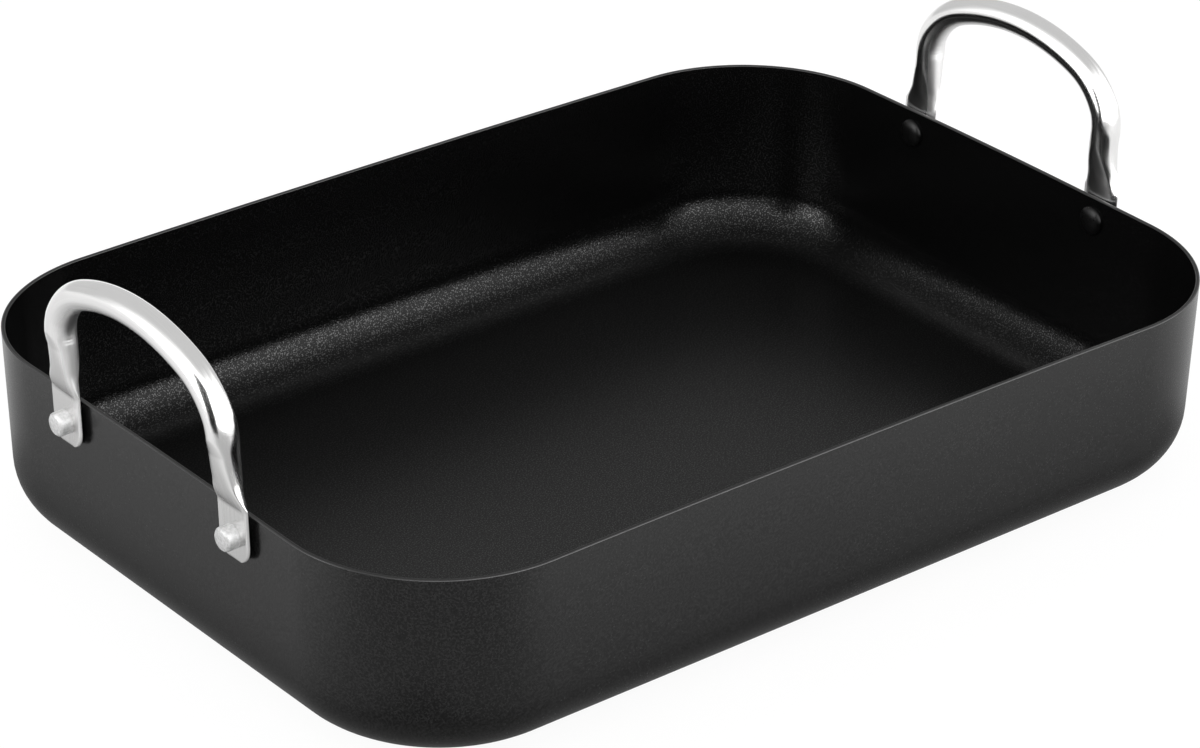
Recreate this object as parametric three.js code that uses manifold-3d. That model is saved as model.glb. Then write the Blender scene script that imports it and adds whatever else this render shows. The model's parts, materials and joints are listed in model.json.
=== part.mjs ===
// Deep rectangular roasting pan with a bent tube handle riveted to each short wall.
// Millimetres, +Z up, +X along the long side. The origin is the middle of the underside.
import * as THREE from "three";
import { mergeVertices } from "three/addons/utils/BufferGeometryUtils.js";
import Module from "manifold-3d";

// Pan body: one pressed sheet.
const panLength = 400; // outside, over the rim
const panWidth = 285; // outside, over the rim
const panHeight = 77;
const sheetThickness = 1.6;
const rimCornerRadius = 62; // outside, in plan
const wallInset = 2.4; // how far the wall leans in from the rim to the level of the underside
const baseFilletRadius = 24; // outside, between wall and base
const rimEdgeRadius = 0.4; // on both edges of the cut rim
const rimCornerDip = 1.2; // the rim lies this much lower at the middle of each corner
const rimDipReach = 77; // distance along the rim in which the dip fades

// Handles: a round tube, bent to an arch and pressed flat at both ends.
const tubeDiameter = 10.8;
const tubeOffset = 3.5; // from the wall's outside to the tube's axis
const crownRise = 53.8; // tube axis at the top of the arch, above the rim
const crownRadius = 88; // of the tube axis over the grip
const bendRadius = 29.5; // of the tube axis between the grip and each leg
const tabWidth = 17;
const tabThickness = 3.4;
const tabEdgeRadius = 1.2;
const tabDrop = 19.5; // from the rim down to the tab's round tip
const creaseRise = 2; // the flat tab ends this far above the rim
const neckLength = 29.5; // along the leg, from the flat tab to the round tube
const creaseShare = 0.5; // rise of the neck from the tab: 0 is tangent, 1 is a straight ramp
const neckFlare = 3.2; // 1 is a straight taper to the tube, and more keeps the tab's width longer
const neckShift = 1.5; // how far the pressed neck bulges towards the middle of the handle

// Rivets: one through each tab, on the axis of its leg.
const rivetSpacing = 102.6; // between the two legs of a handle
const rivetDrop = 10; // from the rim down to the rivet's axis
const shankDiameter = 5;
const outerHeadDiameter = 9;
const outerHeadHeight = 4.1;
const outerHeadChamfer = 0.7;
const innerHeadDiameter = 12;
const innerHeadHeight = 2.2;
const innerHeadEdge = 0.5; // upright edge below the dome

// Clearances.
const seatGap = 0.3; // between faces that lie on each other
const holeClearance = 0.3; // round a rivet's shank

// Fineness of the curved surfaces.
const cornerSteps = 12; // round one corner of the pan
const sideSteps = 8; // along one straight side of the pan
const filletSteps = 7; // up the fillet
const rimEdgeSteps = 2; // over one edge of the rim
const tipSteps = 5; // round half the tip of a tab
const neckSteps = 8; // along one neck
const archSteps = 24; // along the round tube
const sectionSteps = 4; // round a quarter of the tube
const lathSides = 20; // round a rivet
const domeSteps = 4; // up the dome of a rivet

const { lerp, clamp } = THREE.MathUtils;
const quarterTurn = Math.PI / 2;

// Closed skin over a row of rings of equally many points, with a flat cap at each end.
function loft(rings) {
  const count = rings[0].length;
  const positions = [];
  const triangles = [];
  const centreOf = (ring) =>
    ring.reduce((sum, p) => sum.add(p), new THREE.Vector3()).divideScalar(count);
  const points = [...rings.flat(), centreOf(rings[0]), centreOf(rings.at(-1))];
  points.forEach((p) => positions.push(p.x, p.y, p.z));
  const firstCentre = rings.length * count;
  const lastCentre = firstCentre + 1;
  const lastRing = (rings.length - 1) * count;
  for (let i = 0; i < count; i++) {
    const next = (i + 1) % count;
    triangles.push(firstCentre, next, i);
    triangles.push(lastCentre, lastRing + i, lastRing + next);
    for (let base = 0; base < lastRing; base += count) {
      triangles.push(base + i, base + next, base + count + next);
      triangles.push(base + i, base + count + next, base + count + i);
    }
  }
  const geometry = new THREE.BufferGeometry();
  geometry.setAttribute("position", new THREE.Float32BufferAttribute(positions, 3));
  geometry.setIndex(triangles);
  return geometry;
}

// Boolean cuts, on closed geometry.
const wasm = await Module();
wasm.setup();

function solidOf(geometry) {
  const bare = geometry.clone();
  bare.deleteAttribute("normal");
  bare.deleteAttribute("uv");
  const merged = mergeVertices(bare);
  const vertProperties = new Float32Array(merged.getAttribute("position").array);
  const triVerts = new Uint32Array(merged.getIndex().array);
  return new wasm.Manifold(new wasm.Mesh({ numProp: 3, vertProperties, triVerts }));
}

function cutAway(geometry, cutters) {
  const cut = cutters.reduce((solid, cutter) => solid.subtract(solidOf(cutter)), solidOf(geometry));
  const mesh = cut.getMesh();
  const result = new THREE.BufferGeometry();
  result.setAttribute("position", new THREE.BufferAttribute(mesh.vertProperties, 3));
  result.setIndex(new THREE.BufferAttribute(mesh.triVerts, 1));
  result.computeVertexNormals();
  return result;
}

// Pan body

const wallLean = Math.atan(wallInset / panHeight);

// Section of the sheet from the middle of the base, up the outside, over the rim and down the
// inside. Each point is an inset from the rim's outside and a height.
function sheetSection() {
  const innerFilletRadius = baseFilletRadius - sheetThickness;
  const tangentHeight = baseFilletRadius * (1 - Math.sin(wallLean));
  const tangentInset = wallInset * (1 - tangentHeight / panHeight);
  const filletInset = tangentInset + baseFilletRadius * Math.cos(wallLean);
  const filletTurn = quarterTurn - wallLean;
  const fillet = (radius) =>
    Array.from({ length: filletSteps + 1 }, (_, i) => {
      const angle = (filletTurn * i) / filletSteps;
      return [filletInset - radius * Math.sin(angle), baseFilletRadius - radius * Math.cos(angle)];
    });

  const edge = Math.min(rimEdgeRadius, sheetThickness / 3);
  const rimWidth = sheetThickness / Math.cos(wallLean);
  const rimEdge = (centreInset, startAngle) =>
    Array.from({ length: rimEdgeSteps + 1 }, (_, i) => {
      const angle = startAngle - (quarterTurn * i) / rimEdgeSteps;
      return [centreInset + edge * Math.cos(angle), panHeight - edge + edge * Math.sin(angle)];
    });

  return [
    ...fillet(baseFilletRadius),
    ...rimEdge(edge, Math.PI),
    ...rimEdge(rimWidth - edge, quarterTurn),
    ...fillet(innerFilletRadius).reverse(),
  ];
}

// Outline in plan at an inset from the rim's outside, anticlockwise. Each point also has its
// distance along the rim from the middle of the nearest corner.
function planOutline(inset) {
  const cornerX = panLength / 2 - rimCornerRadius;
  const cornerY = panWidth / 2 - rimCornerRadius;
  const halfArc = (rimCornerRadius * quarterTurn) / 2;
  const radius = rimCornerRadius - inset;
  const corners = [
    [cornerX, cornerY],
    [-cornerX, cornerY],
    [-cornerX, -cornerY],
    [cornerX, -cornerY],
  ];
  return corners.flatMap(([x, y], quarter) => {
    const points = [];
    for (let i = 0; i <= cornerSteps; i++) {
      const turn = i / cornerSteps;
      const angle = (quarter + turn) * quarterTurn;
      const fromCorner = halfArc * Math.abs(2 * turn - 1);
      points.push({ x: x + radius * Math.cos(angle), y: y + radius * Math.sin(angle), fromCorner });
    }
    const [nextX, nextY] = corners[(quarter + 1) % corners.length];
    const side = Math.hypot(nextX - x, nextY - y);
    const arcEnd = points.at(-1);
    for (let i = 1; i < sideSteps; i++) {
      const share = i / sideSteps;
      const fromCorner = halfArc + side * Math.min(share, 1 - share);
      points.push({ x: arcEnd.x + (nextX - x) * share, y: arcEnd.y + (nextY - y) * share, fromCorner });
    }
    return points;
  });
}

function panGeometry() {
  return loft(
    sheetSection().map(([inset, height]) => {
      const upWall = clamp((height - baseFilletRadius) / (panHeight - baseFilletRadius), 0, 1);
      return planOutline(inset).map(({ x, y, fromCorner }) => {
        const dip = rimCornerDip * Math.exp(-((fromCorner / rimDipReach) ** 2));
        return new THREE.Vector3(x, y, height - dip * upWall);
      });
    }),
  );
}

// Handles, each in the frame of its wall: x outwards, y along the wall, z up the wall, with the
// origin on the rim's outside.

const tipRadius = tabWidth / 2;
const creaseFromTip = tabDrop + creaseRise;
const neckFromTip = creaseFromTip + neckLength;

// Axis of the tube in the wall's plane: leg, bend, grip, bend, leg.
function tubeAxis() {
  const legY = rivetSpacing / 2;
  const bendY = legY - bendRadius;
  const crownZ = crownRise - crownRadius;
  const bendZ = crownZ + Math.sqrt((crownRadius - bendRadius) ** 2 - bendY ** 2);
  const bendEnd = Math.atan2(bendZ - crownZ, bendY);
  const arc = (y, z, radius, start, end) => new THREE.EllipseCurve(y, z, radius, radius, start, end);
  const at = (y, z) => new THREE.Vector2(y, z);
  const leg = (y, start, end) => new THREE.LineCurve(at(y, start), at(y, end));
  const axis = new THREE.CurvePath();
  axis.add(leg(legY, -tabDrop, bendZ));
  axis.add(arc(bendY, bendZ, bendRadius, 0, bendEnd));
  axis.add(arc(0, crownZ, crownRadius, bendEnd, Math.PI - bendEnd));
  axis.add(arc(-bendY, bendZ, bendRadius, Math.PI - bendEnd, Math.PI));
  axis.add(leg(-legY, bendZ, -tabDrop));
  return axis;
}

// Cross-section at a distance along the axis from the nearer tip: a rounded rectangle, which is
// a circle where the tube is round. Across counts towards the middle of the handle.
function tubeSection(fromTip) {
  const tubeRadius = tubeDiameter / 2;
  const offTip = Math.max(tipRadius - fromTip, 0);
  const tabHalfWidth = Math.sqrt(tipRadius ** 2 - offTip ** 2);

  const alongNeck = clamp((fromTip - creaseFromTip) / neckLength, 0, 1);
  const halfWidth = lerp(tabHalfWidth, tubeRadius, alongNeck ** neckFlare);
  const shift = neckShift * Math.sin(alongNeck * Math.PI);
  const swell = lerp(alongNeck ** 2, alongNeck, creaseShare);
  const halfThickness = lerp(tabThickness / 2, tubeRadius, swell);
  const corner = Math.min(lerp(tabEdgeRadius, tubeRadius, alongNeck), halfWidth, halfThickness);
  const leanOut = Math.sin(alongNeck * quarterTurn);
  const offset = lerp(seatGap + tabThickness / 2, tubeOffset, leanOut);
  const points = [];
  for (let i = 0; i < 4 * sectionSteps; i++) {
    const angle = ((i + 0.5) * quarterTurn) / sectionSteps;
    const across = Math.cos(angle);
    const out = Math.sin(angle);
    points.push({
      across: shift + Math.sign(across) * (halfWidth - corner) + corner * across,
      out: offset + Math.sign(out) * (halfThickness - corner) + corner * out,
    });
  }
  return points;
}

function handleGeometry() {
  const axis = tubeAxis();
  const length = axis.getLength();
  const nearHalf = [];
  for (let i = 1; i <= tipSteps; i++) {
    nearHalf.push(tipRadius * (1 - Math.cos((quarterTurn * i) / tipSteps)));
  }
  for (let i = 0; i < neckSteps; i++) {
    nearHalf.push(creaseFromTip + (neckLength * i) / neckSteps);
  }
  const stations = [...nearHalf];
  for (let i = 0; i <= archSteps; i++) {
    stations.push(lerp(neckFromTip, length - neckFromTip, i / archSteps));
  }
  stations.push(...nearHalf.map((station) => length - station).reverse());

  return loft(
    stations.map((station) => {
      const centre = axis.getPoint(station / length);
      const along = axis.getTangent(station / length);
      return tubeSection(Math.min(station, length - station)).map(({ across, out }) => {
        return new THREE.Vector3(out, centre.x - along.y * across, centre.y + along.x * across);
      });
    }),
  );
}

// Rivets and their holes, in the same frame, with the axis along x.

const tabFace = seatGap + tabThickness;

function rivetGeometry() {
  const shank = shankDiameter / 2;
  const outer = outerHeadDiameter / 2;
  const inner = innerHeadDiameter / 2;
  const innerSeat = -sheetThickness - seatGap;
  const outerSeat = tabFace + seatGap;
  const outerTop = outerSeat + outerHeadHeight;
  const domeHeight = innerHeadHeight - innerHeadEdge;
  const profile = [];
  for (let i = 0; i <= domeSteps; i++) {
    const angle = (quarterTurn * i) / domeSteps;
    profile.push([inner * Math.sin(angle), innerSeat - innerHeadEdge - domeHeight * Math.cos(angle)]);
  }
  profile.push([inner, innerSeat], [shank, innerSeat], [shank, outerSeat], [outer, outerSeat]);
  profile.push([outer, outerTop - outerHeadChamfer]);
  profile.push([outer - outerHeadChamfer, outerTop], [0, outerTop]);
  const points = profile.map(([radius, along]) => new THREE.Vector2(radius, along));
  return new THREE.LatheGeometry(points, lathSides).rotateZ(-quarterTurn);
}

// Cutter for one rivet's hole through the wall and the tab.
function holeGeometry(y) {
  const radius = shankDiameter / 2 + holeClearance;
  const reach = 2 * (sheetThickness + tabThickness + seatGap);
  return new THREE.CylinderGeometry(radius, radius, 2 * reach, lathSides)
    .rotateZ(quarterTurn)
    .translate(0, y, -rivetDrop);
}

// Assembly

const coatedSheet = { color: 0x2b2b2c, roughness: 0.55, metalness: 0.4 };
const polishedSteel = { color: 0xd2d1cf, roughness: 0.22, metalness: 1 };
const bareAluminium = { color: 0xc4c4c2, roughness: 0.5, metalness: 1 };

function namedMesh(name, geometry, finish) {
  const mesh = new THREE.Mesh(geometry, new THREE.MeshStandardMaterial(finish));
  mesh.name = name;
  return mesh;
}

const roastingPan = new THREE.Group();
const wallHoles = [];
const walls = [
  { name: "right", facing: 0 },
  { name: "left", facing: Math.PI },
];
const legs = [rivetSpacing / 2, -rivetSpacing / 2];

for (const wall of walls) {
  const half = new THREE.Group();
  half.rotation.z = wall.facing;
  const wallFrame = new THREE.Group();
  wallFrame.position.set(panLength / 2, 0, panHeight);
  wallFrame.rotation.y = wallLean;
  half.add(wallFrame);
  roastingPan.add(half);

  const holes = legs.map(holeGeometry);
  wallFrame.add(namedMesh(`handle_${wall.name}`, cutAway(handleGeometry(), holes), polishedSteel));
  for (const y of legs) {
    const place = y * Math.cos(wall.facing) < 0 ? "front" : "back";
    const rivet = namedMesh(`rivet_${wall.name}_${place}`, rivetGeometry(), bareAluminium);
    rivet.position.set(0, y, -rivetDrop);
    wallFrame.add(rivet);
  }
  half.updateMatrixWorld(true);
  wallHoles.push(...holes.map((hole) => hole.clone().applyMatrix4(wallFrame.matrixWorld)));
}

roastingPan.add(namedMesh("pan_body", cutAway(panGeometry(), wallHoles), coatedSheet));

export default roastingPan;
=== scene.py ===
# Roasting pan with two riveted handles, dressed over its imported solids.
# Metres, +Z up, +X along the long side. The origin is the middle of the underside.
import bpy
import json
import math
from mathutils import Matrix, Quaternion, Vector

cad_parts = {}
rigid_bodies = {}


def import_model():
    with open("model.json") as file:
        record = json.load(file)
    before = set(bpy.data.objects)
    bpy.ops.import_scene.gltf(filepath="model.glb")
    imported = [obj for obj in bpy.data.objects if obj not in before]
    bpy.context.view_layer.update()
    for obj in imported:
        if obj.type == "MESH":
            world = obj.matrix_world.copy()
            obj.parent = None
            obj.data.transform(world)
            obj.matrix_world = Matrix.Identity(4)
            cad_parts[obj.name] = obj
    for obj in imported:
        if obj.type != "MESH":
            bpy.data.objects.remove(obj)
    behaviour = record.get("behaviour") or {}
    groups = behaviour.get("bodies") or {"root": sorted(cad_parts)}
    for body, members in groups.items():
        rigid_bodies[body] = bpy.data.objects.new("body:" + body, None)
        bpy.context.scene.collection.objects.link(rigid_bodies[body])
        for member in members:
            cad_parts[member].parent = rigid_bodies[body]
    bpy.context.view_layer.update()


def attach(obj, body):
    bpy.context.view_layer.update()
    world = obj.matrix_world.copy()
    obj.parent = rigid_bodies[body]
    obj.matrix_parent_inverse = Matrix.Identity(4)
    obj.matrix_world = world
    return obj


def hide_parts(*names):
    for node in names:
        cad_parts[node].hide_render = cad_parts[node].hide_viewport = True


for stray in list(bpy.data.objects):
    bpy.data.objects.remove(stray)
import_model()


# Pan body
# One sheet of aluminium, deep drawn in one press stroke, with a cut and deburred rim.
# Outside it is hard anodised to a satin dark grey, inside it has a sprayed black non-stick coat.

MM = 0.001
pan_length = 400 * MM
pan_width = 285 * MM
pan_height = 77 * MM
sheet = 1.6 * MM
rim_corner_radius = 62 * MM
wall_inset = 2.4 * MM
base_fillet_radius = 24 * MM
rim_edge_radius = 0.4 * MM
rim_corner_dip = 1.2 * MM
rim_dip_reach = 77 * MM
rim_ripple = 0.25 * MM
ripple_scale = 16.0
weld_distance = 0.02 * MM
wall_lean = math.atan(wall_inset / pan_height)


class Wire:
    """One output of a node tree. Arithmetic on it adds Math nodes, and make() adds any other node."""

    def __init__(self, tree, socket=None):
        self.tree = tree
        self.socket = socket

    def make(self, kind, inputs=None, out=0, **settings):
        node = self.tree.nodes.new(kind)
        for name, value in settings.items():
            if name == "items":
                while len(node.index_switch_items) < value:
                    node.index_switch_items.new()
            else:
                setattr(node, name, value)
        for key, value in (inputs or {}).items():
            for one in value if isinstance(value, list) else [value]:
                if isinstance(one, Wire):
                    self.tree.links.new(one.socket, node.inputs[key])
                else:
                    node.inputs[key].default_value = one
        return Wire(self.tree, node.outputs[out])

    def sibling(self, out):
        """Another output of the node that this one comes from."""
        return Wire(self.tree, self.socket.node.outputs[out])

    def math(self, operation, *others):
        return self.make("ShaderNodeMath", dict(enumerate((self, *others))), operation=operation)

    def __add__(self, other):
        return self.math("ADD", other)

    __radd__ = __add__

    def __sub__(self, other):
        return self.math("SUBTRACT", other)

    def __rsub__(self, other):
        return self.make("ShaderNodeMath", {0: other, 1: self}, operation="SUBTRACT")

    def __mul__(self, other):
        return self.math("MULTIPLY", other)

    __rmul__ = __mul__

    def __truediv__(self, other):
        return self.math("DIVIDE", other)

    def __gt__(self, other):
        return self.math("GREATER_THAN", other)

    def clamped(self):
        return self.math("MAXIMUM", 0.0).math("MINIMUM", 1.0)

    def eased(self, start, end):
        """0 before start, 1 after end, and smooth between them."""
        return self.make(
            "ShaderNodeMapRange",
            {"Value": self, "From Min": start, "From Max": end},
            interpolation_type="SMOOTHSTEP",
        )

    def swing(self, amount):
        """How far this value lies from a half, times an amount."""
        return (self - 0.5) * amount

    def axes(self):
        """X, Y and Z of a vector."""
        x = self.make("ShaderNodeSeparateXYZ", {0: self})
        return x, x.sibling(1), x.sibling(2)

    def vector(self, x, y, z):
        return self.make("ShaderNodeCombineXYZ", {0: x, 1: y, 2: z})

    def blend(self, a, b):
        """Colour a where this value is 0, and colour b where it is 1."""
        return self.make("ShaderNodeMix", {0: self, 6: a, 7: b}, out=2, data_type="RGBA")


def grey(level, warmth=0.0):
    """A near-neutral colour. Warmth adds that share to red and takes it from blue."""
    return (level * (1 + warmth), level, level * (1 - warmth), 1.0)


def finish(name):
    """A new material's first wire and its Principled shader's input sockets."""
    material = bpy.data.materials.new(name)
    material.use_nodes = True
    shader = material.node_tree.nodes["Principled BSDF"]
    return material, Wire(material.node_tree), shader.inputs


def plug(wire, socket):
    wire.tree.links.new(wire.socket, socket)


def noise(place, scale, detail=2.0, roughness=0.5):
    return place.make(
        "ShaderNodeTexNoise",
        {"Vector": place, "Scale": scale, "Detail": detail, "Roughness": roughness},
    )


def bumped(height, distance, strength=1.0):
    inputs = {"Height": height, "Distance": distance, "Strength": strength}
    return height.make("ShaderNodeBump", inputs)


def anodised_outside():
    """A satin dark grey with a fine etched grain."""
    darkest, palest = grey(0.0005), grey(0.014)
    mean_roughness = 0.25
    material, start, shader = finish("anodised_outside")
    place = start.make("ShaderNodeTexCoord", out="Object")
    cloud = noise(place, scale=7.0, detail=3.0)
    grain = noise(place, scale=1300.0, detail=1.0, roughness=0.6)
    shade = grain.eased(0.36, 0.66) + cloud.swing(0.3)
    plug(shade.clamped().blend(darkest, palest), shader["Base Color"])
    plug(grain.swing(0.10) + cloud.swing(0.06) + mean_roughness, shader["Roughness"])
    plug(bumped(grain, distance=0.05 * MM, strength=0.5), shader["Normal"])
    shader["IOR"].default_value = 1.5
    shader["Specular IOR Level"].default_value = 0.405
    return material


def nonstick_inside():
    """Black with fine metal flakes. On the floor the coat lies thicker, rougher and shinier."""
    black, flake_grey = grey(0.0032), grey(0.036)
    flake_metal = 0.88
    wall_roughness = 0.20
    floor_extra_roughness = 0.13
    floor_level, wall_level = 2.0 * MM, 6.0 * MM
    floor_coat = 0.46
    material, start, shader = finish("nonstick_inside")
    place = start.make("ShaderNodeTexCoord", out="Object")
    cloud = noise(place, scale=9.0, detail=3.0)
    grain = noise(place, scale=1500.0, detail=1.0)
    flake = noise(place, scale=1900.0, detail=0.0)
    _, _, height = place.axes()
    on_floor = 1.0 - height.eased(floor_level, wall_level)
    roughness = cloud.swing(0.05) + on_floor * floor_extra_roughness + wall_roughness
    plug(flake.eased(0.60, 0.66).blend(black, flake_grey), shader["Base Color"])
    plug(flake.eased(0.59, 0.62) * flake_metal, shader["Metallic"])
    plug(roughness, shader["Roughness"])
    plug(on_floor * flake * floor_coat, shader["Coat Weight"])
    plug(bumped(grain, distance=0.07 * MM, strength=0.75), shader["Normal"])
    shader["Coat Roughness"].default_value = 0.32
    shader["IOR"].default_value = 1.5
    shader["Specular IOR Level"].default_value = 0.085
    return material


def cut_rim():
    """Bright along the outer edge, less so along the inner one, partly real wear and partly a painted
    highlight, and scuffed all over.
    """
    dark, bright = grey(0.010), grey(0.055)
    mean_roughness = 0.36
    inner_wear_and_glint = 0.6
    material, start, shader = finish("cut_rim")
    place = start.make("ShaderNodeTexCoord", out="Object")
    scuff = noise(place, scale=260.0, detail=4.0, roughness=0.65)
    across = start.make("ShaderNodeAttribute", out="Fac", attribute_name="inside")
    outer_edge = 1.0 - across.eased(0.1, 0.35)
    inner_edge = across.eased(0.9, 1.0)
    # the lighter edges are partly real wear and partly a painted highlight for the edges' glint
    worn_and_glint = outer_edge.math("MAXIMUM", inner_edge * inner_wear_and_glint)
    shade = (worn_and_glint * (scuff * 0.8 + 0.6)).clamped()
    plug(shade.blend(dark, bright), shader["Base Color"])
    plug(scuff.swing(0.3) + mean_roughness, shader["Roughness"])
    plug(bumped(scuff, distance=0.05 * MM, strength=0.4), shader["Normal"])
    shader["Metallic"].default_value = 0.8
    return material


def sized_tree(name, sizes):
    """A geometry node tree with one named input for each size, and a wire for each of them."""
    tree = bpy.data.node_groups.new(name, "GeometryNodeTree")
    tree.interface.new_socket("Geometry", in_out="OUTPUT", socket_type="NodeSocketGeometry")
    for label, value in sizes.items():
        kind = "NodeSocketInt" if isinstance(value, int) else "NodeSocketFloat"
        tree.interface.new_socket(label, in_out="INPUT", socket_type=kind)
    entry = tree.nodes.new("NodeGroupInput")
    return tree, {label: Wire(tree, entry.outputs[label]) for label in sizes}


def grown(name, tree, sizes, result):
    """Runs the tree once with these sizes, and keeps what it makes as a plain mesh."""
    leave = tree.nodes.new("NodeGroupOutput")
    tree.links.new(result.socket, leave.inputs["Geometry"])
    piece = bpy.data.objects.new(name, bpy.data.meshes.new(name + "_seed"))
    bpy.context.scene.collection.objects.link(piece)
    maker = piece.modifiers.new("maker", "NODES")
    maker.node_group = tree
    for item in tree.interface.items_tree:
        if item.in_out == "INPUT":
            maker[item.identifier] = sizes[item.name]
    shaped = piece.evaluated_get(bpy.context.evaluated_depsgraph_get())
    mesh = bpy.data.meshes.new_from_object(shaped)
    mesh.name = name
    # the tree leaves an empty first slot
    mesh.materials.pop(index=0)
    piece.modifiers.remove(maker)
    piece.data = mesh
    return piece


def chosen(index, data_type, values):
    """The value whose place in the list is the index."""
    inputs = {"Index": index}
    inputs.update({i + 1: value for i, value in enumerate(values)})
    return index.make("GeometryNodeIndexSwitch", inputs, data_type=data_type, items=len(values))


def pressed_pan():
    """The sheet's section, swept round the rim's outline, with a flat sheet for the base."""
    sizes = {
        "Length": pan_length,
        "Width": pan_width,
        "Height": pan_height,
        "Sheet": sheet,
        "Rim Corner Radius": rim_corner_radius,
        "Wall Inset": wall_inset,
        "Base Fillet Radius": base_fillet_radius,
        "Rim Edge Radius": rim_edge_radius,
        "Corner Dip": rim_corner_dip,
        "Dip Reach": rim_dip_reach,
        "Ripple": rim_ripple,
        "Corner Points": 64,
        "Outline Points": 420,
        "Fillet Points": 16,
        "Rim Edge Points": 5,
    }
    tree, size = sized_tree("pressed_pan", sizes)
    start = Wire(tree)
    height = size["Height"]
    thick = size["Sheet"]
    inset = size["Wall Inset"]
    fillet = size["Base Fillet Radius"]

    outline = start.make(
        "GeometryNodeCurvePrimitiveQuadrilateral",
        {"Width": size["Length"], "Height": size["Width"]},
    )
    outline = start.make(
        "GeometryNodeFilletCurve",
        {"Curve": outline, "Count": size["Corner Points"], "Radius": size["Rim Corner Radius"]},
        mode="POLY",
    )
    outline = start.make(
        "GeometryNodeResampleCurve", {"Curve": outline, "Count": size["Outline Points"]}
    )
    outline = start.make("GeometryNodeSetCurveNormal", {"Curve": outline}, mode="Z_UP")

    slope = inset / height
    lean = slope.math("ARCTANGENT")
    across_rim = thick / lean.math("COSINE")
    tangent_height = fillet * (1.0 - lean.math("SINE"))
    fillet_inset = inset - slope * tangent_height + fillet * lean.math("COSINE")
    section = [
        (fillet_inset, 0.0),
        (inset, 0.0),
        (0.0, height),
        (across_rim, height),
        (inset - slope * thick + across_rim, thick),
        (fillet_inset, thick),
    ]
    corner = start.make("GeometryNodeInputIndex")
    profile = start.make("GeometryNodeMeshLine", {"Count": len(section)})
    places = [start.vector(0.0 - depth, 0.0 - rise, 0.0) for depth, rise in section]
    profile = start.make(
        "GeometryNodeSetPosition", {"Geometry": profile, "Position": chosen(corner, "VECTOR", places)}
    )
    inside_marks = (0.0, 0.0, 0.0, 1.0, 1.0, 1.0)
    rim_marks = (0.0, 0.0, 1.0, 1.0, 0.0, 0.0)
    for name, marks in (("inside", inside_marks), ("rim", rim_marks)):
        profile = start.make(
            "GeometryNodeStoreNamedAttribute",
            {"Geometry": profile, "Name": name, "Value": chosen(corner, "FLOAT", marks)},
            data_type="FLOAT",
        )
    profile = start.make("GeometryNodeMeshToCurve", {"Mesh": profile})
    edge = size["Rim Edge Radius"]
    radii = chosen(corner, "FLOAT", (0.0, fillet, edge, edge, fillet - thick, 0.0))
    fine, coarse = size["Fillet Points"], size["Rim Edge Points"]
    counts = chosen(corner, "INT", (1, fine, coarse, coarse, fine, 1))
    profile = start.make(
        "GeometryNodeFilletCurve",
        {"Curve": profile, "Count": counts, "Radius": radii},
        mode="POLY",
    )
    wall = start.make("GeometryNodeCurveToMesh", {"Curve": outline, "Profile Curve": profile})
    wall = start.make("GeometryNodeFlipFaces", {"Mesh": wall})

    outward = start.make("GeometryNodeInputNormal")
    inner_line = start.make(
        "GeometryNodeSetPosition",
        {
            "Geometry": outline,
            "Offset": start.make(
                "ShaderNodeVectorMath", {0: outward, "Scale": 0.0 - fillet_inset}, operation="SCALE"
            ),
        },
    )
    plate = start.make("GeometryNodeFillCurve", {"Curve": inner_line}, mode="NGONS")
    floor = start.make(
        "GeometryNodeSetPosition", {"Geometry": plate, "Offset": start.vector(0.0, 0.0, thick)}
    )
    for name, mark in (("inside", 1.0), ("rim", 0.0)):
        floor = start.make(
            "GeometryNodeStoreNamedAttribute",
            {"Geometry": floor, "Name": name, "Value": mark},
            data_type="FLOAT",
        )
    underside = start.make("GeometryNodeFlipFaces", {"Mesh": plate})
    body = start.make("GeometryNodeJoinGeometry", {0: [wall, floor, underside]})
    body = start.make("GeometryNodeMergeByDistance", {"Geometry": body, "Distance": weld_distance})

    place = start.make("GeometryNodeInputPosition")
    x, y, z = place.axes()
    half_diagonal = size["Rim Corner Radius"] * (1.0 - math.sqrt(0.5))
    from_middle_x = x.math("ABSOLUTE") - size["Length"] * 0.5 + half_diagonal
    from_middle_y = y.math("ABSOLUTE") - size["Width"] * 0.5 + half_diagonal
    apart = (from_middle_x * from_middle_x + from_middle_y * from_middle_y) / (
        size["Dip Reach"] * size["Dip Reach"]
    )
    dip = size["Corner Dip"] * (0.0 - apart).math("EXPONENT")
    up_wall = ((z - fillet) / (height - fillet)).clamped()
    ripple = noise(place, ripple_scale, detail=1.0).swing(size["Ripple"])
    body = start.make(
        "GeometryNodeSetPosition",
        {"Geometry": body, "Offset": start.vector(0.0, 0.0, (ripple - dip) * up_wall)},
    )
    body = start.make("GeometryNodeSetShadeSmooth", {"Geometry": body, "Shade Smooth": True})
    body = start.make("GeometryNodeRealizeInstances", {"Geometry": body})
    body = start.make(
        "GeometryNodeSetMaterial", {"Geometry": body, "Material": anodised_outside()}
    )
    fully = 0.99
    for name, material in (("inside", nonstick_inside()), ("rim", cut_rim())):
        mark = start.make("GeometryNodeInputNamedAttribute", {"Name": name}, data_type="FLOAT")
        body = start.make(
            "GeometryNodeSetMaterial",
            {"Geometry": body, "Selection": mark > fully, "Material": material},
        )
    return grown("coated_pan", tree, sizes, body)


coated_pan = pressed_pan()
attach(coated_pan, "root")
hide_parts("pan_body")


# Handles
# One stainless tube each, bent to an arch over a former and pressed flat at both ends.
# The flat tabs lie on the outside of the short walls, and the whole is polished to a satin shine.

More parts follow.
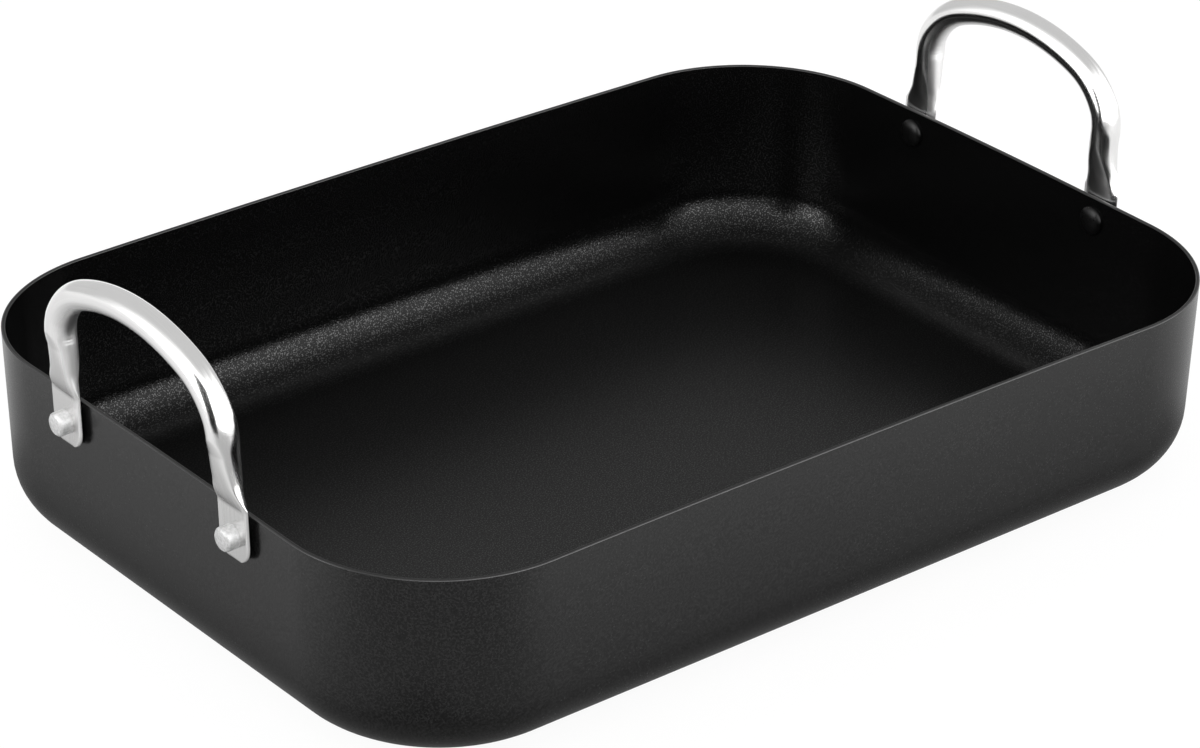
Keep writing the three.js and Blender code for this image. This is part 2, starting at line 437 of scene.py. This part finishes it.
tube_radius = 5.4 * MM
tube_offset = 3.5 * MM
crown_rise = 53.8 * MM
crown_radius = 88 * MM
bend_radius = 29.5 * MM
leg_y = 51.3 * MM
seat_gap = 0.3 * MM
tab_half_width = 8.8 * MM
tab_thickness = 2.8 * MM
tab_edge_radius = 1.2 * MM
tab_lip = 1.0 * MM
tab_back_half_width = 7.2 * MM
tab_back_level = 1.3 * MM
tab_squareness = 2.5
tab_drop = 19.5 * MM
crease_rise = 2 * MM
press_length = 26 * MM
press_curve = 0.65
ridge_share = 0.6
ridge_length = 10 * MM
edge_softness = 1.3 * MM
softness_fade = 0.25
least_softness = 0.001 * MM
kink_lean = math.radians(15)
kink_length = 6 * MM
kink_ridge = 6.9 * MM
kink_reach = 5.7 * MM
kink_swell = 0.05
swell_reach = 12 * MM
back_length = 20 * MM
neck_length = 32 * MM
neck_shift = 1.2 * MM
crease_from_tip = tab_drop + crease_rise
neck_from_tip = crease_from_tip + neck_length


def between(a, b, share):
    return a + (b - a) * share


def held(share):
    return max(0.0, min(1.0, share))


def smooth(share):
    return held(share) ** 2 * (3 - 2 * held(share))


def polished_steel():
    """Brushed along the tube, rougher and darker at the pressed ends, the darker colour partly duller
    pressed metal and partly painted shade, and rougher on the arch's inner side.
    """
    dull_grey, bright_grey = grey(0.70, 0.006), grey(0.95, 0.003)
    lines_around, lines_along = 260.0, 25.0
    mean_roughness = 0.18
    dull_and_shade_tone, dull_roughness = 0.3, 0.05
    inner_place, inner_roughness = 0.25, 0.2
    material, start, shader = finish("polished_steel")
    around, along, _ = start.make("ShaderNodeTexCoord", out="UV").axes()
    place = start.make("ShaderNodeTexCoord", out="Object")
    lines = start.vector(around * lines_around, along * lines_along, 0.0)
    streaks = noise(lines, scale=1.0, detail=3.0, roughness=0.6)
    haze = noise(place, scale=45.0, detail=3.0)
    tone = (streaks.swing(1.1) + haze.swing(0.4) + 0.5).clamped()
    middle = tube_axis()[0] / 2
    # towards the tabs: rougher from the press, and darker partly as painted shade for the dim table they
    # mirror
    dull_and_shade = (along - middle).math("ABSOLUTE").eased(middle - neck_from_tip, middle - tab_drop)
    inner_side = 1.0 - (around - inner_place).math("ABSOLUTE").eased(0.06, 0.2)
    uneven = streaks.swing(0.14) + haze.swing(0.08)
    roughness = uneven + dull_and_shade * dull_roughness + inner_side * inner_roughness + mean_roughness
    plug((tone - dull_and_shade * dull_and_shade_tone).clamped().blend(dull_grey, bright_grey), shader["Base Color"])
    plug(roughness, shader["Roughness"])
    plug(bumped(streaks, distance=0.01 * MM, strength=0.25), shader["Normal"])
    shader["Metallic"].default_value = 1.0
    return material


def tube_axis():
    """Length of the tube's axis, and a function of the distance along it that gives a point and a
    direction in the wall's plane: up one leg, over the arch and down the other leg."""
    bend_y = leg_y - bend_radius
    crown_z = crown_rise - crown_radius
    bend_z = crown_z + math.sqrt((crown_radius - bend_radius) ** 2 - bend_y**2)
    bend_end = math.atan2(bend_z - crown_z, bend_y)
    kink_y = bend_y + bend_radius * math.cos(kink_lean)
    kink_z = bend_z + bend_radius * math.sin(kink_lean)
    leg = math.hypot(leg_y - kink_y, kink_z - crease_rise)
    leg_lean = math.asin((leg_y - kink_y) / leg)
    bend = bend_radius * (bend_end - kink_lean)
    half_length = crease_from_tip + leg + bend + crown_radius * (math.pi / 2 - bend_end)

    def place(distance):
        """The point and the lean in the first half of the handle."""
        along = distance - crease_from_tip
        if along <= 0:
            return (leg_y, distance - tab_drop), 0.0
        if along <= leg:
            share = along / leg
            return (between(leg_y, kink_y, share), between(crease_rise, kink_z, share)), leg_lean
        along -= leg
        if along <= bend:
            y, z, radius, lean = bend_y, bend_z, bend_radius, kink_lean + along / bend_radius
        else:
            y, z, radius, lean = 0.0, crown_z, crown_radius, bend_end + (along - bend) / crown_radius
        return (y + radius * math.cos(lean), z + radius * math.sin(lean)), lean

    def at(distance):
        side = 1 if distance <= half_length else -1
        distance = min(distance, 2 * half_length - distance)
        nearby = [place(distance + step * kink_length / 4) for step in range(-2, 3)]
        y = sum(point[0] for point, _ in nearby) / len(nearby)
        z = sum(point[1] for point, _ in nearby) / len(nearby)
        lean = sum(lean for _, lean in nearby) / len(nearby)
        return (side * y, z), (-math.sin(lean), side * math.cos(lean))

    return 2 * half_length, at


def smaller(a, b, softness):
    """The smaller of two values, with a rounded change from one to the other."""
    return min(a, b) - softness * math.log1p(math.exp(-abs(a - b) / softness))


def half_section(from_tip):
    """Places across and out from the wall, from the middle of the front to the middle of the back.
    A die pressed the tube flat, and left a trough between two ridges above the tab. A flatter
    section is wider, because the tube keeps its girth."""
    above_crease = from_tip - crease_from_tip
    tab_front = seat_gap + tab_thickness
    tab_middle = seat_gap + tab_thickness / 2
    pressed = held(above_crease / press_length)
    front = between(tab_front, tube_offset + tube_radius, pressed**press_curve)
    ridge = between(tab_front, kink_ridge, math.sin(held(pressed / ridge_share) * math.pi / 2))
    reach = between(tab_half_width, kink_reach, pressed)
    free = smooth(above_crease / back_length)
    back = between(seat_gap, tube_offset - tube_radius, free)
    flank = between(tab_back_half_width, tube_radius, free)
    flank_level = between(tab_back_level, tube_offset, free)
    side_level = ridge - tab_lip

    # shares of the reach, and of the rise from the trough to the ridge
    trough = ((0.0, 0.0), (0.30, 0.02), (0.56, 0.16), (0.76, 0.62), (0.90, 1.0))
    lip_reach = 0.985
    places = [(reach * across, between(front, ridge, share)) for across, share in trough]
    places.append((lip_reach * reach, ridge - tab_lip / 2))
    places.append((reach, side_level))
    places.append((between(reach, flank, 0.5), between(side_level, flank_level, 0.5)))
    back_steps = 4
    for i in range(back_steps + 1):
        angle = math.pi / 2 * i / back_steps
        places.append((flank * math.cos(angle), between(flank_level, back, math.sin(angle))))

    roundness = smooth(above_crease / ridge_length)
    front_softness = edge_softness * held((1 - pressed) / softness_fade) + least_softness
    back_softness = edge_softness * (1 - free) + least_softness
    flattened = 2 * tube_radius - (front - back)
    half_width = tube_radius + (math.pi / 4 - 0.5) * flattened
    narrowing = (1 - held(1 - from_tip / tab_half_width) ** tab_squareness) ** (1 / tab_squareness)
    thinning = tab_edge_radius * (1 - math.sqrt(1 - held(1 - from_tip / tab_edge_radius) ** 2))
    swell = 1 + kink_swell * math.exp(-(((above_crease - press_length) / swell_reach) ** 2))
    section = []
    for i, (across, out) in enumerate(places):
        angle = math.pi * i / (len(places) - 1)
        out = between(out, tab_middle, thinning / (tab_thickness / 2))
        across = between(across * narrowing, half_width * math.sin(angle), roundness)
        tube_out = smaller(tube_offset + tube_radius * math.cos(angle), front, front_softness)
        tube_out = -smaller(-tube_out, -back, back_softness)
        out = between(out, tube_out, roundness)
        section.append(Vector((across * swell, between(tube_offset, out, swell))))
    return section


def pressed_section(from_tip):
    """The tube's whole section at a distance from the nearer tip, as a smooth closed line."""
    half = half_section(from_tip)
    corners = half[::-1] + [Vector((-place.x, place.y)) for place in half[1:-1]]
    along_neck = held((from_tip - crease_from_tip) / neck_length)
    shift = Vector((neck_shift * math.sin(along_neck * math.pi), 0))
    steps = 3
    ring = []
    for i, start in enumerate(corners):
        before = corners[i - 1]
        end = corners[(i + 1) % len(corners)]
        after = corners[(i + 2) % len(corners)]
        for step in range(steps):
            share = step / steps
            eased = smooth(share)
            leaving = (end - before) / 2 * share * (1 - share) ** 2
            arriving = (after - start) / 2 * share**2 * (1 - share)
            ring.append(start * (1 - eased) + end * eased + leaving - arriving + shift)
    return ring


def station_list(length):
    """Distances along the axis at which the handle has a section, closer where it changes fast."""
    tip_steps, tab_steps, neck_steps, arch_steps = 18, 8, 66, 110
    first_step = 0.1
    near = []
    for i in range(tip_steps):
        near.append(tab_half_width * (1 - math.cos(math.pi / 2 * (i + first_step) / tip_steps)))
    for i in range(tab_steps):
        near.append(between(tab_half_width, crease_from_tip, i / tab_steps))
    for i in range(neck_steps):
        near.append(between(crease_from_tip, neck_from_tip, i / neck_steps))
    far = length - neck_from_tip
    arch = [between(neck_from_tip, far, i / arch_steps) for i in range(arch_steps + 1)]
    return near + arch + [length - distance for distance in reversed(near)]


def bent_handle(name, facing, material):
    """The handle on the wall that faces +X or -X."""
    length, axis = tube_axis()
    stations = station_list(length)
    points = []
    for station in stations:
        (y, z), (along_y, along_z) = axis(station)
        ring = pressed_section(min(station, length - station))
        count = len(ring)
        for across, out in ring:
            side_y = y - along_z * across
            up = z + along_y * across
            from_middle = pan_length / 2 + math.cos(wall_lean) * out + math.sin(wall_lean) * up
            height = pan_height - math.sin(wall_lean) * out + math.cos(wall_lean) * up
            points.append((facing * from_middle, facing * side_y, height))
    faces = []
    spots = []
    for ring in range(len(stations) - 1):
        for i in range(count):
            after = (i + 1) % count
            base = ring * count
            faces.append((base + i, base + after, base + count + after, base + count + i))
            low, high = stations[ring], stations[ring + 1]
            left, right = i / count, (i + 1) / count
            spots += [(left, low), (right, low), (right, high), (left, high)]
    last = (len(stations) - 1) * count
    faces.append(tuple(reversed(range(count))))
    faces.append(tuple(range(last, last + count)))
    spots += [(0.0, 0.0)] * (2 * count)
    mesh = bpy.data.meshes.new(name)
    mesh.from_pydata(points, [], faces)
    layer = mesh.uv_layers.new(name="UVMap")
    for loop, spot in zip(layer.data, spots):
        loop.uv = spot
    mesh.shade_smooth()
    mesh.materials.append(material)
    handle = bpy.data.objects.new(name, mesh)
    bpy.context.scene.collection.objects.link(handle)
    return handle


steel = polished_steel()
for wall, facing in (("right", 1), ("left", -1)):
    handle = bent_handle("steel_handle_" + wall, facing, steel)
    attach(handle, "root")
    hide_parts("handle_" + wall)


# Rivets
# Four aluminium rivets, one through each tab and the wall, set cold with a flat head outside.
# The low domes inside were sprayed with the coating, so they are black like the walls.

rivet_drop = 10 * MM
shank_radius = 2.5 * MM
outer_head_radius = 4.5 * MM
outer_head_height = 4.7 * MM
outer_head_chamfer = 0.9 * MM
inner_head_radius = 5.7 * MM
inner_head_height = 2.2 * MM
inner_head_edge = 0.5 * MM
set_tight = 0.02 * MM


def matt_rivets():
    """Matt bare metal with fine pits outside the wall, and black coat inside it."""
    black, dark_metal, pale_metal = grey(0.003), grey(0.54), grey(0.74)
    coat_roughness = 0.3
    metal_extra_roughness = 0.25
    metal_share = 0.6
    outside_from = pan_length / 2 - 0.5 * MM
    material, start, shader = finish("matt_rivets")
    place = start.make("ShaderNodeTexCoord", out="Object")
    x, _, _ = place.axes()
    outside = x.math("ABSOLUTE") > outside_from
    pits = noise(place, scale=900.0, detail=3.0, roughness=0.6)
    metal = pits.eased(0.3, 0.7).blend(dark_metal, pale_metal)
    plug(outside.blend(black, metal), shader["Base Color"])
    plug(pits.swing(0.2) + outside * metal_extra_roughness + coat_roughness, shader["Roughness"])
    plug(outside * metal_share, shader["Metallic"])
    plug(bumped(pits, distance=0.08 * MM, strength=0.5), shader["Normal"])
    shader["Specular IOR Level"].default_value = 0.2
    return material


def set_rivets():
    """One turned rivet, placed at the four tabs."""
    sizes = {
        "Shank Radius": shank_radius,
        "Outer Head Radius": outer_head_radius,
        "Outer Head Height": outer_head_height + seat_gap - set_tight,
        "Outer Head Chamfer": outer_head_chamfer,
        "Inner Head Radius": inner_head_radius,
        "Inner Head Height": inner_head_height + seat_gap - set_tight,
        "Inner Head Edge": inner_head_edge,
        "Inner Seat": -sheet - set_tight,
        "Outer Seat": seat_gap + tab_thickness + set_tight,
        "Half Spacing": leg_y,
        "Half Length": pan_length / 2 - rivet_drop * math.sin(wall_lean),
        "Level": pan_height - rivet_drop * math.cos(wall_lean),
        "Lean": wall_lean,
        "Sides": 48,
    }
    tree, size = sized_tree("set_rivets", sizes)
    start = Wire(tree)
    shank, outer, inner = size["Shank Radius"], size["Outer Head Radius"], size["Inner Head Radius"]
    low, high = size["Inner Seat"], size["Outer Seat"]
    top = high + size["Outer Head Height"]
    chamfer = size["Outer Head Chamfer"]
    dome_base = low - size["Inner Head Edge"]
    dome = size["Inner Head Height"] - size["Inner Head Edge"]
    # shares of the chamfer, in from the side and down from the top
    rounded_edge = ((1.15, 0.0), (0.85, 0.12), (0.12, 0.85), (0.0, 1.3))
    rings = [(outer - chamfer * inward, top - chamfer * down) for inward, down in rounded_edge]
    rings += [(outer, high), (shank, high), (shank, low), (inner, low)]
    dome_steps = 8
    dome_tip = 0.02
    for i in range(dome_steps):
        angle = math.pi / 2 * i / dome_steps
        rings.append((inner * math.cos(angle), dome_base - dome * math.sin(angle)))
    rings.append((inner * dome_tip, dome_base - dome))

    spans = len(rings) - 1
    bar = start.make(
        "GeometryNodeMeshCylinder",
        {"Vertices": size["Sides"], "Side Segments": spans, "Radius": 1.0, "Depth": float(spans)},
    )
    x, y, z = start.make("GeometryNodeInputPosition").axes()
    ring = (spans / 2 - z).math("ROUND")
    radius = chosen(ring, "FLOAT", [wide for wide, _ in rings])
    level = chosen(ring, "FLOAT", [deep for _, deep in rings])
    rivet = start.make(
        "GeometryNodeSetPosition",
        {"Geometry": bar, "Position": start.vector(x * radius, y * radius, level)},
    )
    crisp_angle = math.radians(40)
    corner = start.make("GeometryNodeInputMeshEdgeAngle") > crisp_angle
    rivet = start.make("GeometryNodeSetShadeSmooth", {"Geometry": rivet, "Shade Smooth": True})
    rivet = start.make(
        "GeometryNodeSetShadeSmooth",
        {"Geometry": rivet, "Selection": corner, "Shade Smooth": False},
        domain="EDGE",
    )
    number = start.make("GeometryNodeInputIndex")
    back = number.math("MODULO", 2.0)
    left = (number / 2.0).math("FLOOR")
    spots = start.make(
        "GeometryNodePoints",
        {
            "Count": 4,
            "Position": start.vector(
                size["Half Length"] * (1.0 - left * 2.0),
                size["Half Spacing"] * (1.0 - back * 2.0),
                size["Level"],
            ),
        },
    )
    turn = start.vector(0.0, size["Lean"] + math.pi / 2, left * math.pi)
    rivets = start.make(
        "GeometryNodeInstanceOnPoints", {"Points": spots, "Instance": rivet, "Rotation": turn}
    )
    rivets = start.make("GeometryNodeRealizeInstances", {"Geometry": rivets})
    rivets = start.make(
        "GeometryNodeSetMaterial", {"Geometry": rivets, "Material": matt_rivets()}
    )
    return grown("wall_rivets", tree, sizes, rivets)


wall_rivets = set_rivets()
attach(wall_rivets, "root")
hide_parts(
    "rivet_left_front", "rivet_left_back", "rivet_right_front", "rivet_right_back"
)


# Floor
# A plain white studio table, which the camera sees nearly white with the pan's soft shadow on it.
# Mirrored rays see a painted shade on it, darker beside the pan and in front of it, as a table is in a
# pan's shade.

floor_half = 4.0
floor_drop = 0.2 * MM
contact_reach = 40 * MM
contact_shade = 0.6
near_start, near_end = 10 * MM, 150 * MM
near_shade = 0.46
left_begins = (180 * MM, 260 * MM)
left_ends = (380 * MM, 600 * MM)
left_shade = 0.12
front_turn = math.radians(39)
front_full, front_none = math.radians(20), math.radians(65)
front_level = 0.48
glow_share = 0.88
glow_strength = 1.07
never_zero = 1e-6

floor_corners = [(x * floor_half, y * floor_half, 0) for x, y in ((-1, -1), (1, -1), (1, 1), (-1, 1))]
floor_mesh = bpy.data.meshes.new("studio_floor")
floor_mesh.from_pydata(floor_corners, [], [(0, 1, 2, 3)])
studio_floor = bpy.data.objects.new("studio_floor", floor_mesh)
studio_floor.location.z = -floor_drop
bpy.context.scene.collection.objects.link(studio_floor)


def white_table():
    material, start, shader = finish("white_table")
    shader["Base Color"].default_value = grey(0.85)
    shader["Roughness"].default_value = 0.9
    x, y, _ = start.make("ShaderNodeTexCoord", out="Object").axes()
    past_x = (x.math("ABSOLUTE") - pan_length / 2).math("MAXIMUM", 0.0)
    past_y = (y.math("ABSOLUTE") - pan_width / 2).math("MAXIMUM", 0.0)
    from_pan = (past_x * past_x + past_y * past_y).math("SQRT")
    contact = 1.0 - from_pan.eased(0.0, contact_reach)
    near = 1.0 - from_pan.eased(near_start, near_end)
    to_left = 0.0 - x
    left_side = to_left.eased(*left_begins) * (1.0 - to_left.eased(*left_ends))
    out_x = x + (pan_length / 2 - rim_corner_radius)
    out_y = y + (pan_width / 2 - rim_corner_radius)
    from_corner = (out_x * out_x + out_y * out_y + never_zero).math("SQRT")
    to_front = (out_x * -math.sin(front_turn) - out_y * math.cos(front_turn)) / from_corner
    front = to_front.eased(math.cos(front_none), math.cos(front_full))
    # painted shade for mirrored rays: close to the pan, at its left and in front of it
    level = (1.0 - near * near_shade) * (1.0 - left_side * left_shade)
    level = (level + front * (front_level - level)) * (1.0 - contact * contact_shade)
    camera_ray = start.make("ShaderNodeLightPath", out="Is Camera Ray")
    mirrored_ray = camera_ray.sibling("Is Glossy Ray") + camera_ray.sibling("Is Transmission Ray")
    shown = (camera_ray + mirrored_ray).clamped() * glow_share
    white = (camera_ray + level).clamped().blend(grey(0.0), grey(1.0))
    glow = start.make("ShaderNodeEmission", {"Color": white, "Strength": glow_strength})
    plain = Wire(start.tree, start.tree.nodes["Principled BSDF"].outputs[0])
    mixed = start.make("ShaderNodeMixShader", {0: shown, 1: plain, 2: glow})
    plug(mixed, start.tree.nodes["Material Output"].inputs["Surface"])
    return material


floor_mesh.materials.append(white_table())


# Light
# One large soft box at the left, in a pale room that gives plain rays an even level. Mirrored rays
# see bright low walls, a darker camera side, a plain back, and a black card by the left handle.

room_level = 0.75
mirrored_level = 0.68
lit_level = 4.8
panel_level = 1.25
camera_bearing = -140.9
camera_shade = 0.7
back_bearing = 25.0
panel_bearing = -145.0
card_bearing = -105.0
card_distance = 0.40
card_half_width = 0.15
card_height = 0.55


def compass(degrees):
    """A level direction, 0 along +Y and 90 along +X."""
    return Vector((math.sin(math.radians(degrees)), math.cos(math.radians(degrees)), 0.0))


def soft_box(name, bearing, rise, distance, size, watts):
    lamp = bpy.data.lights.new(name, "AREA")
    lamp.shape = "SQUARE"
    lamp.size = size
    lamp.energy = watts
    box = bpy.data.objects.new(name, lamp)
    level = compass(bearing) * math.cos(math.radians(rise))
    box.location = (level + Vector((0, 0, math.sin(math.radians(rise))))) * distance
    box.rotation_mode = "QUATERNION"
    box.rotation_quaternion = (-box.location).to_track_quat("-Z", "Y")
    bpy.context.scene.collection.objects.link(box)


soft_box("left_box", bearing=-85.0, rise=26.0, distance=1.7, size=0.8, watts=3.8)

world = bpy.data.worlds.new("pale_room")
bpy.context.scene.world = world
world.use_nodes = True
room = Wire(world.node_tree)
side_x, side_y, rise = room.make("ShaderNodeTexCoord", out="Generated").axes()
level_length = (side_x * side_x + side_y * side_y + never_zero).math("SQRT")


def facing_share(bearing, near, far):
    """1 in directions within near degrees of the bearing, falling to 0 at far degrees."""
    line = compass(bearing)
    cosine = (side_x * line.x + side_y * line.y) / level_length
    return cosine.eased(math.cos(math.radians(far)), math.cos(math.radians(near)))


def above(start, end):
    """0 in directions that rise less than start degrees, 1 where they rise more than end degrees."""
    return rise.eased(math.sin(math.radians(start)), math.sin(math.radians(end)))


camera_side = facing_share(camera_bearing, near=12.0, far=38.0) * (1.0 - above(12.0, 32.0))
back_side = facing_share(back_bearing, near=50.0, far=112.0)
lit_walls = (1.0 - above(22.0, 54.0)) * (1.0 - camera_side * camera_shade) * (1.0 - back_side)
panel_rise = above(22.0, 46.0) * (1.0 - above(58.0, 80.0))
front_panel = facing_share(panel_bearing, near=45.0, far=118.0) * panel_rise
mirrored_room = lit_walls * lit_level + front_panel * panel_level + mirrored_level
camera_ray = room.make("ShaderNodeLightPath", out="Is Camera Ray")
mirrored = camera_ray.sibling("Is Glossy Ray").math("MAXIMUM", camera_ray.sibling("Is Transmission Ray"))
strength = mirrored * (mirrored_room - room_level) + room_level
strength = camera_ray * (1.0 - strength) + strength
background = world.node_tree.nodes["Background"]
background.inputs["Color"].default_value = grey(1.0)
plug(strength, background.inputs["Strength"])


def black_felt():
    material, start, shader = finish("black_felt")
    fibres = noise(start.make("ShaderNodeTexCoord", out="Object"), scale=900.0, detail=3.0)
    plug(fibres.blend(grey(0.004), grey(0.012)), shader["Base Color"])
    shader["Roughness"].default_value = 0.9
    shader["Specular IOR Level"].default_value = 0.0
    return material


def dark_card():
    """A card on edge beside the left handle, which only mirrored rays see."""
    foot = Vector((-pan_length / 2, -leg_y, 0.0)) + compass(card_bearing) * card_distance
    side = compass(card_bearing + 90.0) * card_half_width
    up = Vector((0.0, 0.0, card_height))
    mesh = bpy.data.meshes.new("dark_card")
    mesh.from_pydata([foot - side, foot + side, foot + side + up, foot - side + up], [], [(0, 1, 2, 3)])
    mesh.materials.append(black_felt())
    card = bpy.data.objects.new("dark_card", mesh)
    card.visible_camera = False
    card.visible_diffuse = False
    card.visible_shadow = False
    bpy.context.scene.collection.objects.link(card)


dark_card()


# Camera
# A long lens from the front left, about 28 degrees above the table, rolled by under one degree.

camera_azimuth = math.radians(-39.09)
camera_elevation = math.radians(27.55)
toward_camera = Vector(
    (
        math.sin(camera_azimuth) * math.cos(camera_elevation),
        -math.cos(camera_azimuth) * math.cos(camera_elevation),
        math.sin(camera_elevation),
    )
)
aim = Vector((0.36 * MM, 4.88 * MM, 40.0 * MM))
distance = 1636.64 * MM
camera_roll = 0.0118
lens = bpy.data.cameras.new("camera")
lens.sensor_width = 36.0
lens.lens = 131.93
lens.clip_start = 0.05
lens.clip_end = 50.0
camera = bpy.data.objects.new("camera", lens)
camera.location = aim + toward_camera * distance
camera.rotation_mode = "QUATERNION"
level_view = (-toward_camera).to_track_quat("-Z", "Y")
camera.rotation_quaternion = level_view @ Quaternion((0, 0, 1), camera_roll)
bpy.context.scene.collection.objects.link(camera)
bpy.context.scene.camera = camera
bpy.context.scene.view_settings.view_transform = "Standard"
